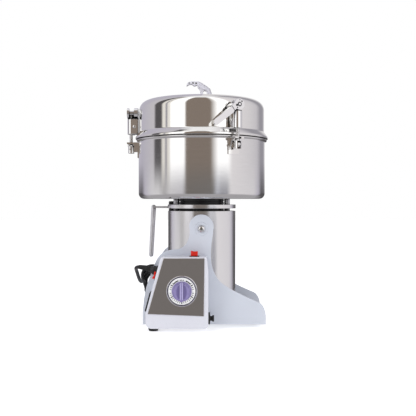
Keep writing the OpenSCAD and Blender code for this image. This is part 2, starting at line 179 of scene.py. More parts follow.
def metal(name, colour, rough, grain=(1, 1, 1), grain_scale=900, grain_depth=0.0, spots=0.03, crevice=0.0):
    """A metal whose polish and tone vary a little, with an optional grain and optional painted shade in its
    crevices.
    """
    material, tree, shader, coords = new_material(name)
    shader.inputs["Metallic"].default_value = 1.0
    broad = noise(tree, coords, METAL_PATCHES)
    fine = noise(tree, coords, grain_scale, grain, 3)
    dark = tuple(c * (1 - spots) for c in colour)
    tone = shades(tree, fine, dark, colour)
    if crevice:
        tone = painted_crevice_shade(tree, tone, colour, crevice)
    tree.links.new(tone, shader.inputs["Base Color"])
    join = tree.nodes.new("ShaderNodeMath")
    join.operation = "ADD"
    tree.links.new(spread(tree, broad, rough * 0.85, rough * 1.1), join.inputs[0])
    tree.links.new(spread(tree, fine, -rough * 0.15, rough * 0.15), join.inputs[1])
    tree.links.new(join.outputs[0], shader.inputs["Roughness"])
    if grain_depth:
        bump(tree, shader, fine, grain_depth)
    return material


def coated(name, colour, rough, texture_scale, depth, tone=0.05, coat=0.0, specular=0.5):
    """Paint, plastic or rubber with a fine surface texture and slight colour variation."""
    material, tree, shader, coords = new_material(name)
    shader.inputs["Coat Weight"].default_value = coat
    shader.inputs["Coat Roughness"].default_value = COAT_ROUGH
    shader.inputs["Specular IOR Level"].default_value = specular
    broad = noise(tree, coords, PLASTIC_PATCHES)
    fine = noise(tree, coords, texture_scale, detail=2)
    dark = tuple(c * (1 - tone) for c in colour)
    tree.links.new(shades(tree, broad, dark, colour), shader.inputs["Base Color"])
    tree.links.new(spread(tree, fine, rough * 0.85, min(1, rough * 1.15)), shader.inputs["Roughness"])
    bump(tree, shader, fine, depth)
    return material


POLISHED = metal("polished_steel", (0.88, 0.87, 0.85), 0.075, (0.02, 0.02, 1), 2600, 1.5e-6, 0.04)
SPUN = metal("spun_steel", (0.85, 0.84, 0.83), 0.10, (0.02, 0.02, 1), 2200, 2e-6, 0.07)
BRUSHED = metal("brushed_steel", (0.88, 0.87, 0.87), 0.20, (1, 1, 0.015), 1700, 1.5e-6, 0.05)
TURNED = metal("turned_steel", (0.78, 0.77, 0.76), 0.24, (1, 1, 1), 700, 3e-6, 0.06)
# Chrome and satin steel carry painted shade in their crevices, darkening their base colour near other
# surfaces
CHROME = metal("chrome", (0.92, 0.92, 0.92), 0.06, (1, 1, 1), 400, crevice=0.9)
SATIN = metal("satin_steel", (0.90, 0.90, 0.93), 0.48, (1, 1, 0.05), 900, 2e-6, 0.06, crevice=0.8)
PANEL = metal("panel_chrome", (0.84, 0.81, 0.80), 0.05, (1, 1, 1), 160, 1e-6, 0.02)
HARD_STEEL = metal("hardened_steel", (0.52, 0.52, 0.53), 0.34, (1, 0.05, 1), 800, 6e-6, 0.15)
IRON = coated("iron", (0.20, 0.21, 0.22), 0.55, 1500, 4e-5, 0.25)
COPPER = metal("copper", (0.80, 0.42, 0.24), 0.3, (1, 1, 0.05), 2500, 2e-5, 0.3)
PAINT = coated("painted_metal", (0.62, 0.65, 0.72), 0.34, 900, 8e-6, 0.05, coat=0.3)
# The control box's paint: the stand's blue-grey, made lighter as painted light for the brightly lit front of
# the box
LIT_BOX_PAINT = coated("lit_box_paint", (0.71, 0.715, 0.775), 0.30, 900, 6e-6, 0.03, coat=0.5)
GRIP = coated("cast_grip", (0.80, 0.79, 0.86), 0.28, 1100, 8e-6, 0.08, coat=0.4)
# Black plastic; also dark discs painted as the shade in the cams' holes
BLACK_AND_SHADE = coated("black_plastic", (0.022, 0.022, 0.024), 0.42, 1400, 1e-5, 0.2)
# Black rubber; also the jaw pads' painted shadow
RUBBER_AND_SHADE = coated("black_rubber", (0.02, 0.02, 0.02), 0.62, 1800, 2e-5, 0.25, specular=0.35)
CORD_SKIN = coated("cord_skin", (0.010, 0.010, 0.011), 0.33, 1300, 1e-5, 0.2)
RED = coated("red_plastic", (0.74, 0.018, 0.006), 0.4, 1200, 4e-6, 0.08, specular=0.3)
WHITE = coated("white_plastic", (0.96, 0.96, 0.94), 0.35, 1200, 3e-6, 0.01, coat=0.3)
LAVENDER = coated("lavender_plastic", (0.26, 0.22, 0.45), 0.40, 1300, 1e-5, 0.12)
# The knob's lavender made darker: painted shade for its hollows
SHADED_LAVENDER = coated("shaded_lavender", (0.16, 0.13, 0.31), 0.42, 1300, 1e-5, 0.12)
# The knob's lavender made paler: painted highlight for its ridges
LIT_LAVENDER = coated("lit_lavender", (0.46, 0.42, 0.66), 0.36, 1300, 1e-5, 0.10)
# Dark ink for the dial's print; also the dial groove's painted shade
INK_AND_SHADE = coated("dial_ink_and_shade", (0.035, 0.035, 0.04), 0.5, 1300, 2e-6, 0.1)
# Grey ink for the dial's scale; also painted shade in the grip's recesses and the pivot bolt's cross slot
GREY_INK_AND_SHADE = coated("grey_ink_and_shade", (0.13, 0.135, 0.12), 0.5, 1300, 2e-6, 0.1)
FLOOR = coated("floor", (0.93, 0.93, 0.93), 0.7, 60, 1e-6, 0.01)


# ---------------------------------------------------------------- mesh helpers

BEVEL_STEPS = 3
WELD = 2e-6  # corners this near are one corner
FLAT = 0.8  # faces that meet at less than this angle become one face


def close_piece(bm, name, material, body, stands_for=(), bevel=0.0, sharp=32):
    """Turns a bmesh into a piece that rides on a body, with smooth shading and rounded edges."""
    bmesh.ops.recalc_face_normals(bm, faces=bm.faces[:])
    for face in bm.faces:
        face.smooth = True
    for edge in bm.edges:
        edge.smooth = len(edge.link_faces) == 2 and edge.calc_face_angle(0) < math.radians(sharp)
    mesh = bpy.data.meshes.new(name)
    bm.to_mesh(mesh)
    bm.free()
    piece = bpy.data.objects.new(name, mesh)
    scene.collection.objects.link(piece)
    mesh.materials.append(material)
    if bevel:
        rounded = piece.modifiers.new("edges", "BEVEL")
        rounded.width = bevel
        rounded.segments = BEVEL_STEPS
        rounded.limit_method = "ANGLE"
        rounded.angle_limit = math.radians(sharp)
        rounded.use_clamp_overlap = True
        rounded.miter_outer = "MITER_ARC"
        even = piece.modifiers.new("normals", "WEIGHTED_NORMAL")
        even.keep_sharp = False
    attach(piece, body)
    if stands_for:
        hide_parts(*stands_for)
    return piece


def body_of(node):
    return frame["nodes"][node]["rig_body"]


def refined(node, material, bevel, sharp=28):
    """The CAD node again with welded faces and rounded edges."""
    bm = bmesh.new()
    bm.from_mesh(frame["nodes"][node].data)
    bmesh.ops.remove_doubles(bm, verts=bm.verts[:], dist=WELD)
    bmesh.ops.dissolve_limit(bm, angle_limit=math.radians(FLAT), verts=bm.verts[:], edges=bm.edges[:])
    return close_piece(bm, node + "_shape", material, body_of(node), [node], bevel, sharp)


def lathe(bm, profile, steps=96, place=Matrix.Identity(4), wave=None):
    """Adds a closed solid of revolution; profile holds (radius, height), in metres."""
    rings = []
    for radius, height in profile:
        if radius < 1e-7:
            rings.append([bm.verts.new(place @ Vector((0, 0, height)))])
            continue
        ring = []
        for i in range(steps):
            angle = 2 * math.pi * i / steps
            r = radius + (wave(angle, height) if wave else 0)
            ring.append(bm.verts.new(place @ Vector((r * math.cos(angle), r * math.sin(angle), height))))
        rings.append(ring)
    closed_on_axis = len(rings[0]) == 1 and len(rings[-1]) == 1
    pairs = list(zip(rings, rings[1:]))
    if not closed_on_axis:
        pairs.append((rings[-1], rings[0]))
    for a, b in pairs:
        for i in range(steps):
            k = (i + 1) % steps
            corners = [a[i % len(a)], a[k % len(a)], b[k % len(b)], b[i % len(b)]]
            corners = [v for j, v in enumerate(corners) if v not in corners[:j]]
            if len(corners) > 2:
                bm.faces.new(corners)


def join_rings(bm, lower, upper):
    """Adds the band of faces between two rings of corners."""
    for i in range(len(lower)):
        k = (i + 1) % len(lower)
        bm.faces.new([lower[i], lower[k], upper[k], upper[i]])


def prism(bm, outline, low, high, place=Matrix.Identity(4)):
    """Adds an outline in X and Y drawn out from low to high along Z."""
    bottom = [bm.verts.new(place @ Vector((x, y, low))) for x, y in outline]
    top = [bm.verts.new(place @ Vector((x, y, high))) for x, y in outline]
    bm.faces.new(bottom[::-1])
    bm.faces.new(top)
    join_rings(bm, bottom, top)


def arc(x, y, radius, start, end, steps=10):
    """Points along an arc, with the angles in degrees."""
    turn = [math.radians(start + (end - start) * i / steps) for i in range(steps + 1)]
    return [(x + radius * math.cos(t), y + radius * math.sin(t)) for t in turn]


def tube_curve(name, points, radius, material, body):
    """A round rod or cord along a line of points."""
    data = bpy.data.curves.new(name, "CURVE")
    data.dimensions = "3D"
    data.bevel_depth = radius
    data.bevel_resolution = 6
    data.use_fill_caps = True
    line = data.splines.new("POLY")
    line.points.add(len(points) - 1)
    for at, p in zip(line.points, points):
        at.co = (*p, 1)
    line.use_smooth = True
    piece = bpy.data.objects.new(name, data)
    scene.collection.objects.link(piece)
    data.materials.append(material)
    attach(piece, body)
    return piece


def facing(point, direction):
    """A place whose Z points along direction."""
    return Matrix.Translation(point) @ Vector(direction).to_track_quat("Z", "Y").to_matrix().to_4x4()


def scaled(outline):
    """An outline or a profile from millimetres to metres."""
    return [(a * MM, b * MM) for a, b in outline]


# ---------------------------------------------------------------- cord

def from_axis(x, y, z):
    """A point in millimetres from the rotor axis, as the CAD source gives it."""
    return AXIS + Vector((x, y, z)) * MM


CORD_R = 3.0 * MM
CORD_BORE = 3.05  # millimetres, the hole round the cord in its strain relief and its plug
CORD_STEPS = 6  # points to each stretch of the free cord

# The control box's left flank in X and height: straight from its foot to its rounded top edge
FLANK_FOOT, FLANK_EDGE = (-89.5, 30), (-62, 117)
EDGE_R, EDGE_START = 4, math.radians(165)
FLANK_TOP = (FLANK_EDGE[0] + EDGE_R * math.cos(EDGE_START), FLANK_EDGE[1] + EDGE_R * math.sin(EDGE_START))
FLANK_LEAN = math.atan2(FLANK_TOP[0] - FLANK_FOOT[0], FLANK_TOP[1] - FLANK_FOOT[1])
GLAND_Y, GLAND_Z, GLAND_LEN = -80, 96, 13
GLAND_MOUTH = (
    FLANK_FOOT[0] + (GLAND_Z - FLANK_FOOT[1]) * math.tan(FLANK_LEAN) - GLAND_LEN * math.cos(FLANK_LEAN),
    GLAND_Y,
    GLAND_Z + GLAND_LEN * math.sin(FLANK_LEAN),
)
CORD_ROUTE = [
    GLAND_MOUTH, (-89.5, -79.6, 100.8), (-96.5, -77.4, 101.8), (-103.2, -72.3, 102), (-108, -64.6, 100.5),
    (-110, -54, 97), (-109.6, -38, 88.5), (-109, -22, 79.5), (-108.5, -4, 72), (-108, 16, 67.5),
    (-108, 36, 66), (-108, 49, 65.4), (-107.6, 59, 63.4), (-106.8, 67, 58.6), (-105.6, 72.4, 51.6),
]
TAIL_ROUTE = [(-77, 108.4, 3.4), (-69, 108.4, 3.7), (-60.5, 106.4, 5.4), (-51.8, 101.4, 8.4), (-43, 98, 10)]
HANK_R = 18.6
HANK_FOOT = (-78, 22.5)
HANK_LEAN = math.radians(18)
HANK_Y = (75.4, 108.4)
JOIN_HEIGHT = 24  # where the route meets the hank's first leg
TAIL_BEARING = 256  # where the tail leaves the last fold, in degrees round it
# Each turn's sideways shift, and the heights of its lower and upper folds
HANK_TURNS = [(0, -0.7, 51), (0.8, 3, 42), (-0.6, 0, 47), (0.7, 5, 36), (0.2, -0.4, 44)]


def smooth_line(points, steps):
    """Catmull-Rom points through the route."""
    p = [Vector(q) for q in points]
    line = []
    for i in range(len(p) - 1):
        a, b, c, d = p[max(i - 1, 0)], p[i], p[i + 1], p[min(i + 2, len(p) - 1)]
        for k in range(steps):
            t = k / steps
            line.append(0.5 * (2 * b + (c - a) * t + (2 * a - 5 * b + 4 * c - d) * t * t
                               + (3 * b - a - 3 * c + d) * t ** 3))
    return line + [p[-1]]


def hank_points():
    """The hank's folds and legs, in its own plane and then leaning in the room."""
    flat = [(-HANK_R, JOIN_HEIGHT)]
    for shift, lower, upper in HANK_TURNS:
        flat += arc(shift, lower, HANK_R, 180, 360, 20)
        flat += arc(shift, upper, HANK_R, 0, 180, 20)
    flat += arc(0, HANK_TURNS[0][1], HANK_R, 180, TAIL_BEARING, 8)
    walked = [0]
    for (a, b), (c, d) in zip(flat, flat[1:]):
        walked.append(walked[-1] + math.hypot(c - a, d - b))
    points = []
    for (u, w), distance in zip(flat, walked):
        y = HANK_Y[0] + (HANK_Y[1] - HANK_Y[0]) * distance / walked[-1]
        points.append((HANK_FOOT[0] + u * math.cos(HANK_LEAN) - w * math.sin(HANK_LEAN), y,
                       HANK_FOOT[1] + u * math.sin(HANK_LEAN) + w * math.cos(HANK_LEAN)))
    return points


hank_line = hank_points()
route = smooth_line([*CORD_ROUTE, hank_line[0]], CORD_STEPS)[:-1]
route += [Vector(q) for q in hank_line]
route += smooth_line([hank_line[-1], *TAIL_ROUTE[1:]], CORD_STEPS)[1:]
cord_line = [from_axis(*q) for q in route]

cord = tube_curve("mains_cord", cord_line, CORD_R, CORD_SKIN, "stand")
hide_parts("cord_tube", "cord_hank", "cord_tail")


def rib(outer, inner, start):
    """A raised rib and the groove after it, as points of a profile."""
    return [(outer, 1 + start), (outer, 2.2 + start), (inner, 2.5 + start), (inner, 3.2 + start)]


def place_on_cord(distance):
    """The start and direction of the cord's stretch at a distance, and how far along it that is."""
    walked = 0
    for a, b in zip(cord_line, cord_line[1:]):
        step = (b - a).length
        if walked + step >= distance:
            break
        walked += step
    return a, (b - a).normalized(), distance - walked


# Strain relief: a ribbed taper along the cord's first stretch
RELIEF_R, RELIEF_LEN, RELIEF_RIBS = 4.9, 22, 8
ribs = [(CORD_BORE, 0), (RELIEF_R, 0)]
for i in range(RELIEF_RIBS):
    wide = RELIEF_R - 0.2 * i
    ribs += rib(wide, wide - 0.7, 2.5 * i)
ribs += [(CORD_BORE, RELIEF_LEN)]
relief = bmesh.new()
lathe(relief, scaled(ribs), 40, facing((0, 0, 0), (0, 0, 1)))
for v in relief.verts:
    start, ahead, beyond = place_on_cord(v.co.z)
    side = ahead.cross(Vector((0, 1, 0))).normalized()
    v.co = start + ahead * beyond + side * v.co.x + side.cross(ahead) * v.co.y
strain_relief = close_piece(relief, "strain_relief", RUBBER_AND_SHADE, "stand", bevel=0.15 * MM)

# A strap round the hank
STRAP_HEIGHT, STRAP_HALF, STRAP_THICK = 26, 4, 1
STRAP_BORE = (22.6, 20.2)  # half sizes of its opening
STRAP_STEPS = 64


def strap_ring(half_x, half_y):
    """A loop between a round and a square, by its half sizes."""
    ring = []
    for i in range(STRAP_STEPS):
        a = 2 * math.pi * i / STRAP_STEPS
        square = max(abs(math.cos(a)), abs(math.sin(a))) ** 0.7
        ring.append((half_x * math.cos(a) / square, half_y * math.sin(a) / square))
    return ring


hank_place = Matrix.Translation(from_axis(HANK_FOOT[0], sum(HANK_Y) / 2, HANK_FOOT[1]))
hank_place = hank_place @ Matrix.Rotation(-HANK_LEAN, 4, "Y")
inner = strap_ring(*STRAP_BORE)
outer = strap_ring(*(half + STRAP_THICK for half in STRAP_BORE))
strap = bmesh.new()
loops = []
for ring, height in ((inner, -STRAP_HALF), (outer, -STRAP_HALF), (outer, STRAP_HALF), (inner, STRAP_HALF)):
    corners = [hank_place @ (Vector((x, y, STRAP_HEIGHT + height)) * MM) for x, y in ring]
    loops.append([strap.verts.new(corner) for corner in corners])
for lower, upper in zip(loops, loops[1:] + loops[:1]):
    join_rings(strap, lower, upper)
cord_strap = close_piece(strap, "cord_strap", BLACK_AND_SHADE, "stand", bevel=0.3 * MM)

# Plug: a moulded body that narrows to a ribbed neck, and two round contacts
NECK_RIBS, NECK_END = 4, 10.5
PLUG_HALF = (9.9, 11.9)
PLUG_STEPS = 48
# Each ring's distance from the cord's end and its share of the body's full size
BODY_RINGS = [(10, 0.62), (13, 0.84), (18, 0.97), (24, 1.0), (30, 0.97), (34, 0.93), (36, 0.88)]
CONTACT_SIDE = 6
plug_place = Matrix.Translation(from_axis(*TAIL_ROUTE[-1])) @ Matrix.Rotation(math.radians(90), 4, "Y")
neck = [(CORD_BORE, 0), (5, 0)]
for i in range(NECK_RIBS):
    neck += rib(5 + 0.2 * i, 4.2 + 0.2 * i, 2.4 * i)
neck += [(5.6, NECK_END), (CORD_BORE, NECK_END)]
plug = bmesh.new()
lathe(plug, scaled(neck), 36, plug_place)
sections = []
for height, share in BODY_RINGS:
    ring = []
    for i in range(PLUG_STEPS):
        a = 2 * math.pi * i / PLUG_STEPS
        flat = (abs(math.cos(a)) ** 4 + abs(math.sin(a)) ** 4) ** -0.25
        half_x, half_y = (half * share * flat for half in PLUG_HALF)
        at = Vector((half_x * math.cos(a), half_y * math.sin(a), height)) * MM
        ring.append(plug.verts.new(plug_place @ at))
    sections.append(ring)
plug.faces.new(sections[0][::-1])
plug.faces.new(sections[-1])
for lower, upper in zip(sections, sections[1:]):
    join_rings(plug, lower, upper)
plug_body = close_piece(plug, "plug_body", BLACK_AND_SHADE, "stand", ["mains_plug"], sharp=40)
pins = bmesh.new()
contact = [(0, 35), (2.3, 35), (2.3, 52.6), (1.9, 53.6), (1.2, 54), (0, 54)]
for side in (-CONTACT_SIDE, CONTACT_SIDE):
    lathe(pins, scaled(contact), 32, plug_place @ Matrix.Translation((0, side * MM, 0)))
plug_pins = close_piece(pins, "plug_pins", TURNED, "stand")


# ---------------------------------------------------------------- bowl and lid

ROUND = 192  # steps round the bowl and the lid
round_axis = Matrix.Translation(AXIS)
rim = RIM_Z / MM
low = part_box("bowl")[0].z / MM
BOWL_R, WALL, CORNER = 110.3, 1.5, 9.5
SHAFT_HOLE = 14
ROLL = 1.6  # radius of the rolled rim's rounds
bowl_profile = [(SHAFT_HOLE, low)] + arc(BOWL_R - CORNER, low + CORNER, CORNER, -90, 0, 20)
bowl_profile += [(BOWL_R, low + 60), (BOWL_R, rim - 5.2)]
bowl_profile += arc(BOWL_R + ROLL, rim - 5.2, ROLL, 180, 100, 6)
bowl_profile += arc(112.4, rim - 1.8, ROLL, -60, 90, 10)
bowl_profile += [(BOWL_R, rim - 0.05)] + arc(110.2, rim - 1.4, 1.4, 90, 180, 6)
bowl_profile += [(BOWL_R - WALL, low + 60)]
bowl_profile += arc(BOWL_R - CORNER, low + CORNER, CORNER - WALL, 0, -90, 20) + [(SHAFT_HOLE, low + WALL)]
bm = bmesh.new()
lathe(bm, scaled(bowl_profile), ROUND, round_axis)
close_piece(bm, "bowl_shell", SPUN, "motor_unit", ["bowl"], sharp=40)

LID_R, SHOULDER, FLARE_R = 109, 16, 115.7
CROWN = 0.4  # how far the lid's top falls from its middle to its shoulder
FLARE_ROUND, FLARE_EDGE, FOOT_ROUND = 2, 3.2, 0.6
top = LID_TOP / MM
shoulder_z = top - CROWN - SHOULDER
flare_top, flare_low, foot = rim + 13, rim + 3, rim + 0.6
lid_profile = [(0, top), (25, top), (60, top - 0.1)]
lid_profile += arc(LID_R - SHOULDER, shoulder_z, SHOULDER, 90, 0, 24)
lid_profile += [(LID_R, flare_top + 1)] + arc(LID_R + FLARE_ROUND, flare_top + 0.2, FLARE_ROUND, 180, 235, 6)
lid_profile += arc(FLARE_R - FLARE_EDGE, flare_low - 0.4, FLARE_EDGE, 40, 0, 6)
lid_profile += [(FLARE_R, foot + 0.5)]
lid_profile += arc(FLARE_R - FOOT_ROUND, foot + FOOT_ROUND, FOOT_ROUND, 0, -90, 5)
lip = BOWL_R - WALL - 1
lid_profile += [
    (FLARE_R - 1.5, foot), (FLARE_R - 1.5, rim + 2.5), (lip, rim + 2.5), (lip, rim - 6.6),
    (lip - 0.4, rim - 7), (lip - 1.1, rim - 7), (lip - 1.5, rim - 6.6), (lip - 1.5, flare_top - 2),
    (LID_R - WALL, flare_top),
]
lid_profile += arc(LID_R - SHOULDER, shoulder_z, SHOULDER - WALL, 0, 90, 20)
lid_profile += [(0, top - CROWN - WALL)]
bm = bmesh.new()
lathe(bm, scaled(lid_profile), ROUND, round_axis)
close_piece(bm, "lid_shell", POLISHED, "lid", ["lid"], sharp=40)
refined("lid_gasket", RUBBER_AND_SHADE, 0.3 * MM)

# Lifting grip: a beaked head on a bar with raised edges and a foot beside it
BEAK = [(-26.9, 412), (-25.6, 417), (-23, 419.8), (-17.2, 420.8), (-12, 420.6), (-7, 420.9), (-4.5, 420),
        (0.4, 417.6), (7.4, 413), (14.5, 407.6), (22.8, top - 0.3)]
BELLY = [(-1.6, top - 0.3), (-3.1, 405.4), (-6.7, 409.4), (-7.5, 413.4), (-9.3, 413.8), (-12.8, 412.2),
         (-15.3, 413.8), (-17.2, 415.5), (-20.7, 415.5), (-23.4, 414.4)]
FOOT_GAP = [(11.4, top - 0.3), (8.3, 403.8), (4.6, 404.6), (2.6, 403.6), (2, top - 0.3)]
UPPER_EDGE = [(-5.5, 419.6), (0.4, 416.6), (7.4, 412), (14.5, 406.6), (20.8, top - 0.2),
              (22.7, top - 0.2), (14.6, 407.4), (7.5, 412.8), (0.5, 417.4), (-4.6, 420)]
LOWER_EDGE = [(-6.4, 413.2), (-2.6, 408.6), (2.6, 406.4), (8.8, 405.4), (12.4, top - 0.2),
              (14.6, top - 0.2), (9.8, 407.2), (3, 408.4), (-1.6, 410.6), (-5.2, 414.4)]
# Grey discs painted as the shade in the grip's recesses
RECESS_SHADES = [(-21.8, 417.6, 1.2), (-15.2, 417.8, 1.5), (-9.8, 417.2, 1.6)]  # X, height and radius
GRIP_HALF = 4.6
EDGE_THICK = 1.7
GRIP_BASE = [(0, top - 0.5), (14.8, top - 0.5), (14.8, top + 0.5), (13.8, top + 1.3), (0, top + 1.5)]
GRIP_BASE_X = 12


def upright_prism(bm, outline, back, front):
    """Adds an outline in X and height, drawn from back to front; millimetres from the rotor axis."""
    place = Matrix.Translation(AXIS) @ Matrix.Rotation(math.radians(90), 4, "X")
    prism(bm, scaled(outline), back * MM, front * MM, place)


bm = bmesh.new()
upright_prism(bm, BEAK + FOOT_GAP + BELLY, -GRIP_HALF, GRIP_HALF)
close_piece(bm, "lid_grip", GRIP, "lid", ["lid_handle"], bevel=1.1 * MM)
bm = bmesh.new()
for back in (-5.9, 4.2):
    upright_prism(bm, UPPER_EDGE, back, back + EDGE_THICK)
    upright_prism(bm, LOWER_EDGE, back, back + EDGE_THICK)
close_piece(bm, "lid_grip_edges", GRIP, "lid", bevel=0.35 * MM)
bm = bmesh.new()
for x, z, r in RECESS_SHADES:
    lathe(bm, scaled([(0, 0), (r, 0), (r, 0.12), (0, 0.12)]), 24, facing(from_axis(x, -4.65, z), FRONTWARD))
close_piece(bm, "lid_grip_recess_shades", GREY_INK_AND_SHADE, "lid")
bm = bmesh.new()
lathe(bm, scaled(GRIP_BASE), 96, Matrix.Translation(AXIS + Vector((GRIP_BASE_X * MM, 0, 0))))
close_piece(bm, "lid_grip_base", POLISHED, "lid")
refined("shaft_seal", RUBBER_AND_SHADE, 0.6 * MM)


# ---------------------------------------------------------------- motor unit

refined("motor_housing", BRUSHED, 0.35 * MM)
refined("motor_end_cap", BLACK_AND_SHADE, 0.8 * MM)
refined("top_bracket", IRON, 0.6 * MM)
refined("stator_core", IRON, 0.5 * MM)
refined("field_coils", COPPER, 2.5 * MM)
refined("motor_bearings", TURNED, 0.5 * MM)
refined("brush_holders", BLACK_AND_SHADE, 0.6 * MM)
refined("ring_plate", BRUSHED, 0.7 * MM)
refined("support_posts", SATIN, 0.5 * MM)
refined("latch_brackets", POLISHED, 0.4 * MM)
refined("bracket_pins", CHROME, 0.5 * MM)

# Neck collar with turned grooves
COLLAR_BORE, COLLAR_R, COLLAR_GROOVES = 14.5, 39, 3
neck_low, neck_high = (v.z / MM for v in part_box("neck_collar"))
collar = [(COLLAR_BORE, neck_low), (38.2, neck_low), (COLLAR_R, neck_low + 0.8)]
for i in range(COLLAR_GROOVES):
    z = neck_low + 5 + 5 * i
    collar += [(COLLAR_R, z), (38, z + 0.5), (38, z + 1.5), (COLLAR_R, z + 2)]
collar += [(COLLAR_R, neck_high - 0.8), (38.2, neck_high), (COLLAR_BORE, neck_high)]
bm = bmesh.new()
lathe(bm, scaled(collar), 128, round_axis)
close_piece(bm, "neck_collar_turned", BLACK_AND_SHADE, "motor_unit", ["neck_collar"])

# Tilt handle, and the fluted caps above and below its clamp
CLAMP_X = -53
CAP_R, CAP_FLUTES = 5, 18
refined("tilt_handle", SATIN, 0.9 * MM)
clamp = from_axis(CLAMP_X, 0, 0)
for label, low_z, high_z in (("upper", 205, 211), ("lower", 194, 198.5)):
    cap = [(0, low_z), (4.4, low_z), (CAP_R, low_z + 0.5)]
    cap += [(CAP_R, high_z - 1.2), (4, high_z - 0.2), (0, high_z)]
    bm = bmesh.new()
    lathe(bm, scaled(cap), 72, Matrix.Translation((clamp.x, clamp.y, 0)),
          wave=lambda a, h: -0.25 * MM * (0.5 + 0.5 * math.cos(CAP_FLUTES * a)))
    piece = close_piece(bm, f"handle_cap_{label}", BLACK_AND_SHADE, "motor_unit")
    if label == "upper":
        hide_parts("handle_bolt")

# Rotor
refined("rotor_shaft", HARD_STEEL, 0.8 * MM)
refined("armature_core", IRON, 0.4 * MM)
refined("commutator", COPPER, 0.5 * MM)
refined("cooling_fan", BLACK_AND_SHADE, 0.4 * MM)
refined("hammer_carrier", HARD_STEEL, 0.5 * MM)
refined("shaft_nut", CHROME, 0.8 * MM)
for i in HAMMERS:
    refined(f"hammer_{i}", HARD_STEEL, 0.5 * MM)


# ---------------------------------------------------------------- latches

LATCH_R = 124.5  # from the rotor axis out to each latch's rod
PIN_Z = JOINTS["latch_1_swing"]["pos_m"][2] / MM
LEVER_Z = JOINTS["cam_lever_1_turn"]["pos_m"][2] / MM
KNURLS = 24
THREAD_LOW, THREAD_TURNS = PIN_Z + 13, 14
RIVET_X, RIVET_Z = 118, PIN_Z + 39.5
# The jaw pads stand as painted shadow under the cams
PAD_IN, PAD_OUT, PAD_R = 112.2, 123.5, 7.2
SNAP_RINGS = (111.85, 131.05)  # out from the rotor axis, on the cams' inner and outer faces
CAM_FACE = 131.0
# Each dark disc's bearing round the lever's pin, distance from it and radius; the discs are painted shade
# for holes in the outer cam
CAM_HOLE_SHADES = [(288, 5.2, 1.9), (325, 6.9, 1.1), (140, 6.2, 1.3), (178, 6.9, 0.8)]


def latch_frame(number):
    """A place on the rotor axis at height 0, with X out through the latch and Y along its hinge."""
    tangent = Vector(JOINTS[f"latch_{number}_swing"]["axis"])
    out = tangent.cross(Vector((0, 0, 1)))
    turn = Matrix((out, tangent, Vector((0, 0, 1)))).transposed().to_4x4()
    return Matrix.Translation(AXIS) @ turn


def latch_knurl(number, rod_place):
    """The knurled adjusting sleeve over the rod's foot."""
    sleeve = [(4.6, PIN_Z + 7.6), (5.55, PIN_Z + 7.6), (5.95, PIN_Z + 7.2), (5.95, PIN_Z + 5.6),
              (5.6, PIN_Z + 5.3), (4.6, PIN_Z + 5.3)]
    bm = bmesh.new()
    lathe(bm, scaled(sleeve), 144, rod_place, wave=lambda a, h: 0.22 * MM * math.cos(KNURLS * a))
    close_piece(bm, f"latch_knurl_{number}", CHROME, f"latch_{number}")


def latch_thread(number, rod_place):
    """The thread on the rod between the ledge and the jaw, as rings a millimetre apart."""
    thread = [(2.5, THREAD_LOW)]
    for k in range(THREAD_TURNS):
        z = PIN_Z + 13.2 + k
        thread += [(2.68, z), (3.0, z + 0.45), (2.68, z + 0.9)]
    thread += [(2.5, PIN_Z + 27.2)]
    bm = bmesh.new()
    lathe(bm, scaled(thread), 48, rod_place)
    close_piece(bm, f"latch_thread_{number}", TURNED, f"latch_{number}", sharp=80)


def jaw_rivets(number, place):
    """A rivet head on each side of the jaw."""
    head = [(0, 7.3), (2.8, 7.3), (2.7, 7.9), (2.0, 8.35), (1.0, 8.55), (0, 8.6)]
    at = place @ Matrix.Translation((RIVET_X * MM, 0, RIVET_Z * MM))
    bm = bmesh.new()
    for side in (-1, 1):
        lathe(bm, scaled(head), 40, at @ Matrix.Rotation(math.radians(-90 * side), 4, "X"))
    close_piece(bm, f"jaw_rivets_{number}", CHROME, f"latch_{number}")


def cam_shadow_pad(number, place):
    """A dark pad on the jaw's top, painted as the shadow under the lever's cams."""
    jaw_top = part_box(f"latch_jaw_{number}")[1].z / MM
    pad = [(PAD_IN, -PAD_R), (PAD_OUT, -PAD_R)] + arc(PAD_OUT, 0, PAD_R, -90, 90, 12)
    pad += [(PAD_OUT, PAD_R), (PAD_IN, PAD_R)]
    bm = bmesh.new()
    prism(bm, scaled(pad), (jaw_top - 0.1) * MM, (jaw_top + 1.25) * MM, place)
    close_piece(bm, f"cam_shadow_pad_{number}", RUBBER_AND_SHADE, f"latch_{number}", bevel=0.3 * MM)


def cam_rings_and_hole_shades(number, place):
    """Snap rings round the lever's pin, and dark discs painted as the shade in holes in the outer cam."""
    hub = place @ Matrix.Translation((0, 0, LEVER_Z * MM)) @ Matrix.Rotation(math.radians(90), 4, "Y")
    bm = bmesh.new()
    for reach in SNAP_RINGS:
        snap = [(2.15, reach - 0.1), (3.7, reach - 0.1), (3.7, reach + 0.12), (2.15, reach + 0.12)]
        lathe(bm, scaled(snap), 32, hub)
    # Painted shade: dark discs where the outer cam's holes are
    for turn, out, wide in CAM_HOLE_SHADES:
        disc = [(0, CAM_FACE), (wide, CAM_FACE), (wide, CAM_FACE + 0.12), (0, CAM_FACE + 0.12)]
        at = hub @ Matrix.Rotation(math.radians(turn), 4, "Z") @ Matrix.Translation((out * MM, 0, 0))
        lathe(bm, scaled(disc), 20, at)
    close_piece(bm, f"cam_rings_and_hole_shades_{number}", BLACK_AND_SHADE, f"cam_lever_{number}")


